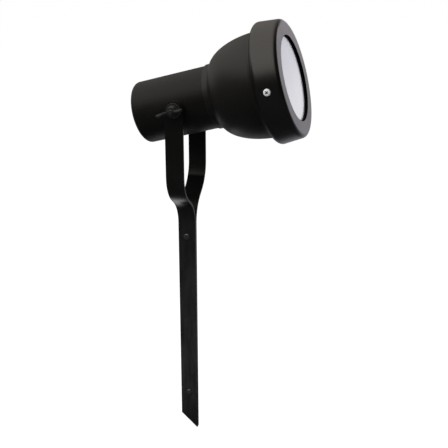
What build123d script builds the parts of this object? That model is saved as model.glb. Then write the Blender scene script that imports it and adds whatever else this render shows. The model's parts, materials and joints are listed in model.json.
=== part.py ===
from build123d import *

import os
from math import asin, cos, degrees, radians, sin, tan

# Garden spike spotlight: a sealed reflector-lamp head that tilts in a yoke of two riveted bars.
#
# Millimetres. +X is the way the lamp aims, +Y its left side and +Z up. The origin is on the
# spike's centreline at the ground line. Head pieces are drawn by station, the distance along the
# lamp's axis from the tilt pivot, positive towards the glass.

# ---------------------------------------------------------------- driving dimensions: the spike
aim_tilt = 15.5             # lamp axis above the horizontal, degrees
pivot_height = 230.0        # tilt pivot above the ground line
spike_depth = 215.5         # sharp end below the ground line
strap_width = 22.2
strap_thickness = 3.0
strap_edge = 0.5            # rounding of the bars' rolled edges
spacer_length = 3.4         # the barrel's side to the inner face of an arm
arm_drop = 100.6            # pivot down to the upper bend
bend_drop = 29.5            # upper bend down to the lower bend
bend_radius = 40.0          # on the middle of the bar's thickness
tip_cut = 20.4              # how much shorter the back corner of the spike is

rivet_radius = 2.5
rivet_head_radius = 4.4
rivet_head_height = 2.0
upper_rivet_drop = 38.0     # below the lower bend
lower_rivet_rise = 54.1     # above the sharp end

# ------------------------------------------------------------------------ driving: tilt hardware
bolt_radius = 3.0
bolt_head_radius = 8.0
bolt_head_height = 3.6
bolt_chamfer = 0.6
bolt_end_past_nut = 3.0     # thread that shows past the wing nut's hub
running_clearance = 0.06    # radial, of a bolt in an arm, a washer or a wing nut
spacer_radius = 10.5
saddle_thickness = 1.4      # between the bolt head and the barrel's inner wall, at its middle
washer_radius = 9.0
washer_thickness = 1.6
hub_base_radius = 6.5
hub_top_radius = 5.0
hub_height = 6.5
wing_span = 33.0
wing_height = 17.0          # wing tips above the nut's seat
wing_tip_radius = 5.0
wing_root_radius = 3.2
wing_root_out = 4.4         # centre of the wing's root from the bolt
wing_thickness = 2.6
wing_round = 0.8
wing_angle = 16.0           # wings above the horizontal at rest, degrees

# -------------------------------------------------------------------------- driving: rear housing
barrel_radius = 36.6
barrel_wall = 2.0
barrel_rear = -55.5         # station of the closed end
barrel_corner = 5.0
barrel_lip = 2.2            # how far the open end's rolled lip stands out, inside the bowl
barrel_lip_length = 1.8
barrel_lip_clearance = 0.3  # lip to the bowl's inner face
bracket_boss_radius = 4.5
bracket_boss_length = 21.0
earth_boss_radius = 4.0
earth_boss_length = 8.0
earth_boss_offset = 22.0

# ---------------------------------------------------------------------------------- driving: bowl
bowl_wall = 1.2
collar_length = 7.0         # on the barrel, behind the bulge
collar_clearance = 0.05
bowl_half_length = 62.0     # of the bulge's ellipse
bowl_centre_radius = 33.5
bowl_centre_back = 0.4      # ellipse's centre behind the rim's start
bowl_crease = 2.6           # fillet between collar and bulge
flare_length = 5.9          # from the bulge out to the rim
flare_rise = 1.4
rim_length = 19.0

# --------------------------------------------------------------------------------- driving: bezel
bezel_taper = 6.0           # degrees
bezel_depth = 31.2
bezel_rear_corner = 5.0
bezel_front_corner = 5.0
bezel_wall = 2.4
bezel_lip_wall = 2.4
bezel_lip_clearance = 0.5   # rear lip to the bowl's rim
opening_radius = 48.0
opening_round = 0.8
flange_thickness = 3.0
lug_width = 11.0
lug_behind_screw = 6.3
lug_past_screw = 4.2
lug_clearance = 0.4
screw_setback = 5.6         # behind the front edge of the bowl's rim
screw_count = 3

screw_radius = 2.0
screw_head_radius = 4.0
screw_head_height = 2.5
head_round_share = 0.5      # of a pan head's height
screw_slack = 0.1           # radial, of a screw in a hole in its own body
screw_spot_depth = 0.5      # flat cut in the bezel's wall for each head
screw_spot_slack = 0.6
recess_width_share = 0.26   # of a pan head's radius
recess_length_share = 1.15
recess_depth_share = 0.55   # of its height
screw_tip_back = 0.5        # tip short of the bowl rim's inner face

# ---------------------------------------------------------------------- driving: glass and seals
gasket_thickness = 1.2
gasket_inset = 0.5          # behind the opening's edge
glass_overlap = 1.4         # glass edge past the bowl's rim
glass_side_clearance = 1.44  # glass edge to the bezel's wall
glass_thickness = 3.0
glass_edge = 0.4
seal_width = 5.2
seal_height = 3.4

# ---------------------------------------------------------------------------------- driving: lamp
lamp_radius = 60.2
lamp_side_clearance = 0.8   # to the bowl's rim
lamp_wall = 1.8
lamp_rim_rear = 117.2
lens_edge = 5.2
lens_crown = 3.6
lens_wall = 3.0
lens_ledge = 2.8            # flat the lens is sealed to the reflector on
lens_clearance = 1.8        # lens to the front glass
lamp_neck_radius = 19.0
lamp_neck_station = 31.0
lamp_neck_rear = 20.0
lamp_bulge_station = 72.0
lamp_bulge_radius = 43.5
cap_radius = 13.1
cap_wall = 0.5
cap_rear = -5.4
insulator_length = 2.2
insulator_tip_radius = 6.0
contact_radius = 4.6
contact_length = 1.6

# ------------------------------------------------------------------------------- driving: holder
holder_wall = 6.8
holder_setback = 2.0        # behind the lamp's neck
holder_round = 2.0
cap_clearance = 0.4         # radial, of the lamp's cap in the shell
shell_wall = 0.6
shell_clearance = 0.1       # radial, in the holder's bore
shell_setback = 3.0         # behind the holder's front
tongue_width = 7.0
tongue_length = 12.0
tongue_thickness = 0.6
tongue_bend = 0.8
tongue_rise = 3.4           # from the bore's floor to the lamp's contact
bracket_thickness = 2.0
bracket_width = 20.0
bracket_end_gap = 1.9       # to the barrel's inner wall
bracket_hole = 4.4
bracket_screw_gap = 1.5     # screw heads to the holder's side
holder_screw_gap = 0.1      # screw heads to the bracket's hole
holder_screw_radius = 1.6
holder_screw_head_radius = 3.0
holder_screw_head_height = 1.8
holder_screw_length = 9.0
bracket_screw_length = 9.0
tag_radius = 4.8
tag_thickness = 0.8
tag_blade_length = 9.0
tag_blade_width = 6.3
earth_screw_length = 6.0

# -------------------------------------------------------------------------- driving: cable gland
cable_radius = 4.0
gland_thread_radius = 8.0
gland_hex = 19.0            # across flats
gland_flange = 3.2
gland_stub = 8.0            # thread behind the flange, through the rear wall
gland_nut_wall = 1.0
gland_nut_height = 5.2
gland_nut_flutes = 12
gland_flute_share = 0.9     # of the nut's wall
gland_mouth_clearance = 1.2  # radial, of the cable in the nut's mouth
gland_seal_wall = 2.6
gland_socket_depth = 5.0
gland_bore_clearance = 0.8  # radial, of the cable in the bore
gland_neck_wall = 1.0
gland_neck_length = 3.6
locknut_hex = 20.0
locknut_height = 3.4

# ------------------------------------------------------------------------------- derived places
sides = {"left": 1, "right": -1}
strap_half = strap_width / 2
yoke_gap = 2 * (barrel_radius + spacer_length)
arm_middle = (yoke_gap + strap_thickness) / 2
upper_bend = pivot_height - arm_drop
lower_bend = upper_bend - bend_drop
rivet_heights = [lower_bend - upper_rivet_drop, lower_rivet_rise - spike_depth]

arm_outer = yoke_gap / 2 + strap_thickness
nut_seat = arm_outer + washer_thickness
bolt_end = nut_seat + hub_height + bolt_end_past_nut
barrel_inner = barrel_radius - barrel_wall
saddle_seat = barrel_inner - saddle_thickness

# The lamp sets the front of the head: glass, bezel and the bowl's rim follow from its face and
# its edge.
lamp_face = lamp_rim_rear + lens_edge + lens_crown
glass_back = lamp_face + lens_clearance
glass_front = glass_back + glass_thickness
flange_back = glass_front + gasket_thickness
bezel_front = flange_back + flange_thickness
bezel_rear = bezel_front - bezel_depth

rim_inner = lamp_radius + lamp_side_clearance
rim_radius = rim_inner + bowl_wall
rim_front = glass_back - seal_height
rim_start = rim_front - rim_length
bulge_end = rim_start - flare_length
bowl_centre = rim_start - bowl_centre_back
bowl_half_height = rim_radius - flare_rise - bowl_centre_radius
inner_collar = barrel_radius + collar_clearance
collar_radius = inner_collar + bowl_wall

glass_radius = rim_radius + glass_overlap
wall_slope = tan(radians(bezel_taper))
bezel_inner = glass_radius + glass_side_clearance
bezel_radius = bezel_inner + bezel_wall + (flange_back - bezel_rear) * wall_slope
screw_station = rim_front - screw_setback
lug_start = screw_station - lug_behind_screw
lug_end = screw_station + lug_past_screw

insulator_rear = cap_rear - insulator_length
contact_rear = insulator_rear - contact_length
holder_bore = cap_radius + cap_clearance + shell_wall + shell_clearance
holder_radius = holder_bore + holder_wall
holder_front = lamp_neck_rear - holder_setback
holder_bore_rear = contact_rear - tongue_rise
shell_front = holder_front - shell_setback
holder_screw_offset = bracket_hole + holder_screw_head_radius + holder_screw_gap

barrel_floor = barrel_rear + barrel_wall
lip_radius = barrel_radius + barrel_lip
boss_top = barrel_floor + bracket_boss_length
bracket_front = boss_top + bracket_thickness
bracket_boss_offset = holder_radius + bracket_screw_gap + screw_head_radius

gland_socket_radius = cable_radius + gland_seal_wall
gland_neck_radius = gland_socket_radius + gland_neck_wall
gland_nut_radius = gland_neck_radius + gland_nut_wall

pivot = Vector(0, 0, pivot_height)
aim = Vector(cos(radians(aim_tilt)), 0, sin(radians(aim_tilt)))
head_axis = Axis(pivot, aim)
tilt_axis = Axis(pivot, (0, 1, 0))
# head_side draws half sections: x is the station, y the radius. head_section looks along the
# axis: x is the lamp's left, y its up, and its offset is the station.
head_side = Plane(origin=pivot, x_dir=aim, z_dir=(0, -1, 0))
head_section = Plane(origin=pivot, x_dir=(0, 1, 0), z_dir=aim)


def bezel_radius_at(station):
    """Outer radius of the bezel's tapered wall."""
    return bezel_radius - (station - bezel_rear) * wall_slope


def bulge_arc(half_length, half_height, collar):
    """The bulge's ellipse, from the flare back to where its radius is the collar's."""
    front = 90 - degrees(asin((bulge_end - bowl_centre) / half_length))
    back = 180 - degrees(asin((collar - bowl_centre_radius) / half_height))
    return EllipticalCenterArc(
        (bowl_centre, bowl_centre_radius),
        half_length,
        half_height,
        start_angle=front,
        arc_size=back - front,
    )


def bulge_station(radius, half_length, half_height):
    """Station at which the bulge's ellipse reaches a radius."""
    height = (radius - bowl_centre_radius) / half_height
    return bowl_centre - half_length * (1 - height**2) ** 0.5


def dome_radius(half_chord, rise):
    """Radius of an arc that rises this much over half its chord."""
    return (half_chord**2 + rise**2) / (2 * rise)


def side_plane(side):
    """Plane across the tilt axis, at the middle, facing out to one side."""
    return Plane(origin=pivot, x_dir=(1, 0, 0), z_dir=(0, side, 0))


def bolt_side(side):
    """Half-section plane of a tilt bolt: x runs out along the bolt, y is the radius."""
    return Plane(origin=pivot, x_dir=(0, side, 0), z_dir=(1, 0, 0))


def screw_plane(index):
    """Plane of one bezel screw, on the lamp's axis and facing out along the screw."""
    outward = Vector(0, -1, 0).rotate(head_axis, index * 360 / screw_count)
    return Plane(origin=pivot + aim * screw_station, x_dir=aim, z_dir=outward)


def pan_screw(seat, shank_radius, length, head_radius, head_height):
    """Cross-recess pan-head screw. The seat is the plane under its head, facing out."""
    with BuildPart() as screw:
        with BuildSketch(seat):
            Circle(shank_radius)
        extrude(amount=-length)
        with BuildSketch(seat):
            Circle(head_radius)
        extrude(amount=head_height)
        crown = screw.faces().sort_by(Axis(seat.origin, seat.z_dir))[-1]
        fillet(crown.edges(), head_round_share * head_height)
        with BuildSketch(seat.offset(head_height)):
            Rectangle(recess_length_share * head_radius, recess_width_share * head_radius)
            Rectangle(recess_width_share * head_radius, recess_length_share * head_radius)
        extrude(amount=-recess_depth_share * head_height, mode=Mode.SUBTRACT)
    return screw.part


def finish(builder, name):
    """Label one piece and write its file."""
    builder.part.label = name
    export_step(builder.part, f"parts/{name}.step")


os.makedirs("parts", exist_ok=True)

# ------------------------------------------------------------------------------------ the spike
# Two flat bars, face to face in the ground and bent apart into the yoke above it. One outline,
# with the round arm end and the slanting point, trims both.
for name, side in sides.items():
    with BuildPart() as strap:
        with BuildSketch(Plane.YZ):
            with BuildLine():
                FilletPolyline(
                    (side * arm_middle, pivot_height + strap_half),
                    (side * arm_middle, upper_bend),
                    (side * strap_thickness / 2, lower_bend),
                    (side * strap_thickness / 2, -spike_depth),
                    radius=bend_radius,
                )
            trace(line_width=strap_thickness)
        extrude(amount=strap_half, both=True)
        with BuildSketch(Plane.XZ):
            with BuildLine():
                Polyline(
                    (strap_half, pivot_height),
                    (strap_half, -spike_depth),
                    (-strap_half, tip_cut - spike_depth),
                    (-strap_half, pivot_height),
                )
                ThreePointArc(
                    (-strap_half, pivot_height),
                    (0, pivot_height + strap_half),
                    (strap_half, pivot_height),
                )
            make_face()
        extrude(amount=yoke_gap, both=True, mode=Mode.INTERSECT)
        fillet(strap.edges(), strap_edge)
        with BuildSketch(Plane.XZ):
            with Locations((0, pivot_height)):
                Circle(bolt_radius + running_clearance)
            with Locations(*[(0, height) for height in rivet_heights]):
                Circle(rivet_radius)
        extrude(amount=yoke_gap, both=True, mode=Mode.SUBTRACT)
    finish(strap, f"spike_strap_{name}")

with BuildPart() as rivets:
    for height in rivet_heights:
        with BuildSketch(Plane.YZ):
            with BuildLine():
                Polyline(
                    (-strap_thickness - rivet_head_height, height),
                    (strap_thickness + rivet_head_height, height),
                )
                for side in sides.values():
                    face = side * strap_thickness
                    crown = side * (strap_thickness + rivet_head_height)
                    RadiusArc(
                        (crown, height),
                        (face, height + rivet_head_radius),
                        -side * dome_radius(rivet_head_radius, rivet_head_height),
                    )
                    Line((face, height + rivet_head_radius), (face, height + rivet_radius))
                Line(
                    (-strap_thickness, height + rivet_radius),
                    (strap_thickness, height + rivet_radius),
                )
            make_face()
        revolve(axis=Axis((0, 0, height), (0, 1, 0)))
finish(rivets, "spike_rivets")

# ---------------------------------------------------------------------------- the tilt hardware
# On each side, from the inside out: bolt head, saddle, barrel wall, spacer, arm, washer, wing nut.
for name, side in sides.items():
    with BuildPart() as bolt:
        with BuildSketch(bolt_side(side)):
            with BuildLine():
                Polyline(
                    (saddle_seat - bolt_head_height, 0),
                    (bolt_end, 0),
                    (bolt_end, bolt_radius - bolt_chamfer),
                    (bolt_end - bolt_chamfer, bolt_radius),
                    (saddle_seat, bolt_radius),
                    (saddle_seat, bolt_head_radius),
                )
                RadiusArc(
                    (saddle_seat - bolt_head_height, 0),
                    (saddle_seat, bolt_head_radius),
                    dome_radius(bolt_head_radius, bolt_head_height),
                )
            make_face()
        revolve(axis=tilt_axis)
    finish(bolt, f"pivot_bolt_{name}")

    with BuildPart() as spacer:
        with BuildSketch(side_plane(side).offset(yoke_gap / 2)):
            Circle(spacer_radius)
            Circle(bolt_radius + screw_slack, mode=Mode.SUBTRACT)
        extrude(amount=-(yoke_gap / 2 - barrel_inner))
        with BuildSketch(head_section.offset(-2 * spacer_radius)):
            Circle(barrel_radius)
        extrude(amount=4 * spacer_radius, mode=Mode.SUBTRACT)
    finish(spacer, f"pivot_spacer_{name}")

    with BuildPart() as washer:
        with BuildSketch(side_plane(side).offset(arm_outer)):
            Circle(washer_radius)
            Circle(bolt_radius + running_clearance, mode=Mode.SUBTRACT)
        extrude(amount=washer_thickness)
    finish(washer, f"arm_washer_{name}")

    # The wings stand in a plane through the bolt, turned up at the front of the lamp.
    turn = radians(wing_angle)
    wing_plane = Plane(
        origin=pivot + Vector(0, side * nut_seat, 0),
        x_dir=(cos(turn), 0, sin(turn)),
        z_dir=Vector(cos(turn), 0, sin(turn)).cross(Vector(0, side, 0)),
    )
    with BuildPart() as wing_nut:
        with BuildSketch(wing_plane):
            with Locations((wing_span / 2 - wing_tip_radius, wing_height - wing_tip_radius)):
                Circle(wing_tip_radius)
            with Locations((wing_root_out, wing_root_radius)):
                Circle(wing_root_radius)
            make_hull()
            mirror(about=Plane.YZ)
        extrude(amount=wing_thickness / 2, both=True)
        fillet(wing_nut.faces().filter_by(Axis(pivot, wing_plane.z_dir)).edges(), wing_round)
        with BuildSketch(side_plane(side).offset(nut_seat)):
            Circle(hub_base_radius)
        with BuildSketch(side_plane(side).offset(nut_seat + hub_height)):
            Circle(hub_top_radius)
        loft()
        with BuildSketch(side_plane(side).offset(nut_seat)):
            Circle(bolt_radius + running_clearance)
        extrude(amount=wing_height, mode=Mode.SUBTRACT)
    finish(wing_nut, f"wing_nut_{name}")

with BuildPart() as saddles:
    for side in sides.values():
        with BuildSketch(side_plane(side).offset(saddle_seat)):
            Circle(spacer_radius)
            Circle(bolt_radius + screw_slack, mode=Mode.SUBTRACT)
        extrude(amount=barrel_wall)
    with BuildSketch(head_section.offset(-2 * spacer_radius)):
        Circle(barrel_inner)
    extrude(amount=4 * spacer_radius, mode=Mode.INTERSECT)
finish(saddles, "bolt_saddles")

# --------------------------------------------------------------------------------- rear housing
# A cast cup: closed rounded rear, open front with a small rolled lip that holds the bowl's collar.
lip_rear = bulge_station(
    lip_radius + barrel_lip_clearance,
    bowl_half_length - bowl_wall,
    bowl_half_height - bowl_wall,
)
barrel_front = lip_rear + barrel_lip_length
with BuildPart() as rear_housing:
    with BuildSketch(head_side):
        with Locations((barrel_rear, 0)):
            Rectangle(barrel_front - barrel_rear, barrel_radius, align=Align.MIN)
        fillet(vertices().group_by(Axis.Y)[-1].sort_by(Axis.X)[0], barrel_corner)
        with Locations((lip_rear, 0)):
            Rectangle(barrel_lip_length, lip_radius, align=Align.MIN)
    revolve(axis=head_axis)
    with BuildSketch(head_side):
        with Locations((barrel_floor, 0)):
            Rectangle(barrel_front - barrel_floor, barrel_inner, align=Align.MIN)
        fillet(
            vertices().group_by(Axis.Y)[-1].sort_by(Axis.X)[0], barrel_corner - barrel_wall
        )
    revolve(axis=head_axis, mode=Mode.SUBTRACT)
    with BuildSketch(head_section.offset(barrel_floor)):
        with Locations((bracket_boss_offset, 0), (-bracket_boss_offset, 0)):
            Circle(bracket_boss_radius)
    extrude(amount=bracket_boss_length)
    with BuildSketch(head_section.offset(barrel_floor)):
        with Locations((0, -earth_boss_offset)):
            Circle(earth_boss_radius)
    extrude(amount=earth_boss_length)
    with BuildSketch(head_section.offset(boss_top)):
        with Locations((bracket_boss_offset, 0), (-bracket_boss_offset, 0)):
            Circle(screw_radius + screw_slack)
    extrude(amount=-bracket_screw_length, mode=Mode.SUBTRACT)
    with BuildSketch(head_section.offset(barrel_floor + earth_boss_length)):
        with Locations((0, -earth_boss_offset)):
            Circle(screw_radius + screw_slack)
    extrude(amount=-earth_screw_length, mode=Mode.SUBTRACT)
    with BuildSketch(head_section.offset(barrel_rear)):
        Circle(gland_thread_radius + screw_slack)
    extrude(amount=barrel_wall, mode=Mode.SUBTRACT)
    with BuildSketch(side_plane(1)):
        Circle(bolt_radius + screw_slack)
    extrude(amount=barrel_radius, both=True, mode=Mode.SUBTRACT)
finish(rear_housing, "rear_housing")

# ----------------------------------------------------------------------------------------- bowl
# Spun from sheet: collar on the barrel, a quarter-ellipse bulge, then a flare to a straight rim.
collar_rear = bulge_station(collar_radius, bowl_half_length, bowl_half_height) - collar_length
with BuildPart() as lamp_bowl:
    with BuildSketch(head_side):
        with BuildLine():
            outer = bulge_arc(bowl_half_length, bowl_half_height, collar_radius)
            inner = bulge_arc(
                bowl_half_length - bowl_wall, bowl_half_height - bowl_wall, inner_collar
            )
            Polyline(
                outer @ 1,
                (collar_rear, collar_radius),
                (collar_rear, inner_collar),
                inner @ 1,
            )
            Polyline(
                outer @ 0,
                (rim_start, rim_radius),
                (rim_front, rim_radius),
                (rim_front, rim_inner),
                (rim_start, rim_inner),
                inner @ 0,
            )
        make_face()
        fillet(vertices().sort_by_distance(outer @ 1)[0], bowl_crease)
    revolve(axis=head_axis)
    for index in range(screw_count):
        with BuildSketch(screw_plane(index).offset(rim_inner - bowl_wall)):
            Circle(screw_radius + screw_slack)
        extrude(amount=3 * bowl_wall, mode=Mode.SUBTRACT)
finish(lamp_bowl, "lamp_bowl")

# ---------------------------------------------------------------------------------------- bezel
# A deep ring with a rounded rear corner, a tapered wall and a flat front flange. Three lugs inside
# take the screws, whose tips reach into the bowl's rim.
screw_seat = bezel_radius_at(screw_station) - screw_spot_depth
lug_inner = rim_radius + lug_clearance
lug_outer = bezel_radius_at(lug_end) - bezel_wall / 3
with BuildPart() as bezel_ring:
    with BuildSketch(head_side):
        with BuildLine():
            Polyline(
                (bezel_rear, 0),
                (bezel_rear, bezel_radius),
                (bezel_front, bezel_radius_at(bezel_front)),
                (bezel_front, 0),
                close=True,
            )
        make_face()
        upper = vertices().sort_by(Axis.Y)[-2:]
        fillet(upper.sort_by(Axis.X)[0], bezel_rear_corner)
        fillet(vertices().group_by(Axis.X)[-1].sort_by(Axis.Y)[-1], bezel_front_corner)
        cavity_rear = bezel_rear + bezel_lip_wall
        with BuildLine():
            Polyline(
                (cavity_rear, 0),
                (cavity_rear, bezel_radius_at(cavity_rear) - bezel_wall),
                (flange_back, bezel_radius_at(flange_back) - bezel_wall),
                (flange_back, 0),
                close=True,
            )
        make_face(mode=Mode.SUBTRACT)
        with Locations((bezel_rear, 0)):
            Rectangle(
                bezel_lip_wall,
                rim_radius + bezel_lip_clearance,
                align=Align.MIN,
                mode=Mode.SUBTRACT,
            )
        with Locations((flange_back, 0)):
            Rectangle(flange_thickness, opening_radius, align=Align.MIN, mode=Mode.SUBTRACT)
        fillet(vertices().group_by(Axis.X)[-1].sort_by(Axis.Y)[0], opening_round)
    revolve(axis=head_axis)
    with BuildSketch(head_section.offset(lug_start)):
        with PolarLocations((lug_inner + lug_outer) / 2, screw_count, start_angle=180):
            Rectangle(lug_outer - lug_inner, lug_width)
    extrude(amount=lug_end - lug_start)
    for index in range(screw_count):
        with BuildSketch(screw_plane(index).offset(rim_radius)):
            Circle(screw_radius + screw_slack)
        extrude(amount=screw_seat - rim_radius, mode=Mode.SUBTRACT)
        with BuildSketch(screw_plane(index).offset(screw_seat)):
            Circle(screw_head_radius + screw_spot_slack)
        extrude(amount=screw_head_height, mode=Mode.SUBTRACT)
finish(bezel_ring, "bezel_ring")

with BuildPart() as bezel_screws:
    for index in range(screw_count):
        add(
            pan_screw(
                screw_plane(index).offset(screw_seat),
                screw_radius,
                screw_seat - rim_inner - screw_tip_back,
                screw_head_radius,
                screw_head_height,
            )
        )
finish(bezel_screws, "bezel_screws")

# ------------------------------------------------------------------------------ glass and seals
with BuildPart() as front_glass:
    with BuildSketch(head_section.offset(glass_back)):
        Circle(glass_radius)
    extrude(amount=glass_thickness)
    chamfer(front_glass.edges(), glass_edge)
finish(front_glass, "front_glass")

with BuildPart() as glass_gasket:
    with BuildSketch(head_section.offset(glass_front)):
        Circle(glass_radius)
        Circle(opening_radius + gasket_inset, mode=Mode.SUBTRACT)
    extrude(amount=gasket_thickness)
finish(glass_gasket, "glass_gasket")

with BuildPart() as rim_seal:
    with BuildSketch(head_section.offset(rim_front)):
        Circle(glass_radius)
        Circle(glass_radius - seal_width, mode=Mode.SUBTRACT)
    extrude(amount=seal_height)
finish(rim_seal, "rim_seal")

# ----------------------------------------------------------------------------------------- lamp
# A sealed reflector lamp: pressed-glass reflector, domed lens, screw cap, insulator, contact.
with BuildPart() as lamp_reflector:
    with BuildSketch(head_side):
        with BuildLine():
            for inset in (0, lamp_wall):
                Line(
                    (lamp_neck_rear, cap_radius - inset),
                    (lamp_neck_station, lamp_neck_radius - inset),
                )
                ThreePointArc(
                    (lamp_neck_station, lamp_neck_radius - inset),
                    (lamp_bulge_station, lamp_bulge_radius - inset),
                    (lamp_rim_rear, lamp_radius - inset),
                )
            Line((lamp_neck_rear, cap_radius), (lamp_neck_rear, cap_radius - lamp_wall))
            Line((lamp_rim_rear, lamp_radius), (lamp_rim_rear, lamp_radius - lamp_wall))
        make_face()
    revolve(axis=head_axis)
finish(lamp_reflector, "lamp_reflector")

with BuildPart() as lamp_lens:
    ledge_radius = lamp_radius - lens_ledge
    inner_face = lamp_face - lens_wall
    with BuildSketch(head_side):
        with BuildLine():
            Polyline(
                (lamp_rim_rear, ledge_radius),
                (lamp_rim_rear, lamp_radius),
                (lamp_face - lens_crown, lamp_radius),
            )
            RadiusArc(
                (lamp_face - lens_crown, lamp_radius),
                (lamp_face, 0),
                dome_radius(lamp_radius, lens_crown),
            )
            Line((lamp_face, 0), (inner_face, 0))
            RadiusArc(
                (inner_face, 0),
                (lamp_rim_rear, ledge_radius),
                -dome_radius(ledge_radius, inner_face - lamp_rim_rear),
            )
        make_face()
    revolve(axis=head_axis)
finish(lamp_lens, "lamp_lens")

with BuildPart() as lamp_cap:
    with BuildSketch(head_section.offset(cap_rear)):
        Circle(cap_radius)
        Circle(cap_radius - cap_wall, mode=Mode.SUBTRACT)
    extrude(amount=lamp_neck_rear - cap_rear)
finish(lamp_cap, "lamp_cap")

with BuildPart() as lamp_cap_insulator:
    with BuildSketch(head_section.offset(cap_rear)):
        Circle(cap_radius)
    with BuildSketch(head_section.offset(insulator_rear)):
        Circle(insulator_tip_radius)
    loft()
finish(lamp_cap_insulator, "lamp_cap_insulator")

with BuildPart() as lamp_contact:
    with BuildSketch(head_section.offset(contact_rear)):
        Circle(contact_radius)
    extrude(amount=contact_length)
finish(lamp_contact, "lamp_contact")

# --------------------------------------------------------------------------------------- holder
# A porcelain holder with a threaded shell and a sprung contact, on a bar across two bosses.
holder_rear = bracket_front
with BuildPart() as lamp_holder:
    with BuildSketch(head_side):
        with Locations((holder_rear, 0)):
            Rectangle(holder_front - holder_rear, holder_radius, align=Align.MIN)
        fillet(vertices().group_by(Axis.Y)[-1], holder_round)
        with Locations((holder_bore_rear, 0)):
            Rectangle(
                holder_front - holder_bore_rear,
                holder_bore,
                align=Align.MIN,
                mode=Mode.SUBTRACT,
            )
    revolve(axis=head_axis)
    with BuildSketch(head_section.offset(holder_rear)):
        with Locations((0, holder_screw_offset), (0, -holder_screw_offset)):
            Circle(holder_screw_radius + screw_slack)
    extrude(amount=holder_screw_length, mode=Mode.SUBTRACT)
finish(lamp_holder, "lamp_holder")

with BuildPart() as holder_shell:
    with BuildSketch(head_section.offset(holder_bore_rear)):
        Circle(holder_bore - shell_clearance)
        Circle(holder_bore - shell_clearance - shell_wall, mode=Mode.SUBTRACT)
    extrude(amount=shell_front - holder_bore_rear)
finish(holder_shell, "holder_shell")

with BuildPart() as holder_contact:
    foot = holder_bore_rear + tongue_thickness / 2
    tip = contact_rear - tongue_thickness / 2
    with BuildSketch(head_side):
        with BuildLine():
            FilletPolyline(
                (foot, -tongue_length / 2),
                (foot, -tongue_length / 6),
                (tip, tongue_length / 6),
                (tip, tongue_length / 2),
                radius=tongue_bend,
            )
        trace(line_width=tongue_thickness)
    extrude(amount=tongue_width / 2, both=True)
finish(holder_contact, "holder_contact")

with BuildPart() as holder_bracket:
    with BuildSketch(head_section.offset(boss_top)):
        SlotOverall(2 * (barrel_inner - bracket_end_gap), bracket_width)
        Circle(bracket_hole, mode=Mode.SUBTRACT)
        with Locations((bracket_boss_offset, 0), (-bracket_boss_offset, 0)):
            Circle(screw_radius + screw_slack, mode=Mode.SUBTRACT)
        with Locations((0, holder_screw_offset), (0, -holder_screw_offset)):
            Circle(holder_screw_radius + screw_slack, mode=Mode.SUBTRACT)
    extrude(amount=bracket_thickness)
finish(holder_bracket, "holder_bracket")

with BuildPart() as bracket_screws:
    for offset_y in (bracket_boss_offset, -bracket_boss_offset):
        seat = Plane(
            origin=head_section.offset(bracket_front).from_local_coords((offset_y, 0, 0)),
            x_dir=head_section.x_dir,
            z_dir=aim,
        )
        add(
            pan_screw(
                seat,
                screw_radius,
                bracket_screw_length,
                screw_head_radius,
                screw_head_height,
            )
        )
finish(bracket_screws, "bracket_screws")

with BuildPart() as holder_screws:
    for offset_up in (holder_screw_offset, -holder_screw_offset):
        seat = Plane(
            origin=head_section.offset(boss_top).from_local_coords((0, offset_up, 0)),
            x_dir=head_section.x_dir,
            z_dir=-aim,
        )
        add(
            pan_screw(
                seat,
                holder_screw_radius,
                holder_screw_length,
                holder_screw_head_radius,
                holder_screw_head_height,
            )
        )
finish(holder_screws, "holder_screws")

# ---------------------------------------------------------------------------------------- earth
earth_seat = barrel_floor + earth_boss_length
with BuildPart() as earth_tag:
    with BuildSketch(head_section.offset(earth_seat)):
        with Locations((0, -earth_boss_offset)):
            Circle(tag_radius)
        with Locations((0, tag_blade_length / 2 - earth_boss_offset)):
            Rectangle(tag_blade_width, tag_blade_length)
        with Locations((0, -earth_boss_offset)):
            Circle(screw_radius + screw_slack, mode=Mode.SUBTRACT)
    extrude(amount=tag_thickness)
finish(earth_tag, "earth_tag")

with BuildPart() as earth_screw:
    seat = Plane(
        origin=head_section.offset(earth_seat + tag_thickness).from_local_coords(
            (0, -earth_boss_offset, 0)
        ),
        x_dir=head_section.x_dir,
        z_dir=aim,
    )
    add(
        pan_screw(
            seat, screw_radius, earth_screw_length, screw_head_radius, screw_head_height
        )
    )
finish(earth_screw, "earth_screw")

# ---------------------------------------------------------------------------------- cable gland
# From the inside out: locknut, rear wall, hexagonal flange, neck with the rubber seal, nut.
flange_rear = barrel_rear - gland_flange
neck_rear = flange_rear - gland_neck_length
with BuildPart() as gland_body:
    with BuildSketch(head_section.offset(flange_rear)):
        RegularPolygon(gland_hex / 2, 6, major_radius=False)
    extrude(amount=gland_flange)
    with BuildSketch(head_section.offset(barrel_rear)):
        Circle(gland_thread_radius)
    extrude(amount=gland_stub)
    with BuildSketch(head_section.offset(neck_rear)):
        Circle(gland_neck_radius)
    extrude(amount=gland_neck_length)
    with BuildSketch(head_section.offset(neck_rear)):
        Circle(cable_radius + gland_bore_clearance)
    extrude(amount=gland_neck_length + gland_flange + gland_stub, mode=Mode.SUBTRACT)
    with BuildSketch(head_section.offset(neck_rear)):
        Circle(gland_socket_radius)
    extrude(amount=gland_socket_depth, mode=Mode.SUBTRACT)
finish(gland_body, "gland_body")

with BuildPart() as gland_seal:
    with BuildSketch(head_section.offset(neck_rear)):
        Circle(gland_socket_radius)
        Circle(cable_radius, mode=Mode.SUBTRACT)
    extrude(amount=gland_socket_depth)
finish(gland_seal, "gland_seal")

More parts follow.
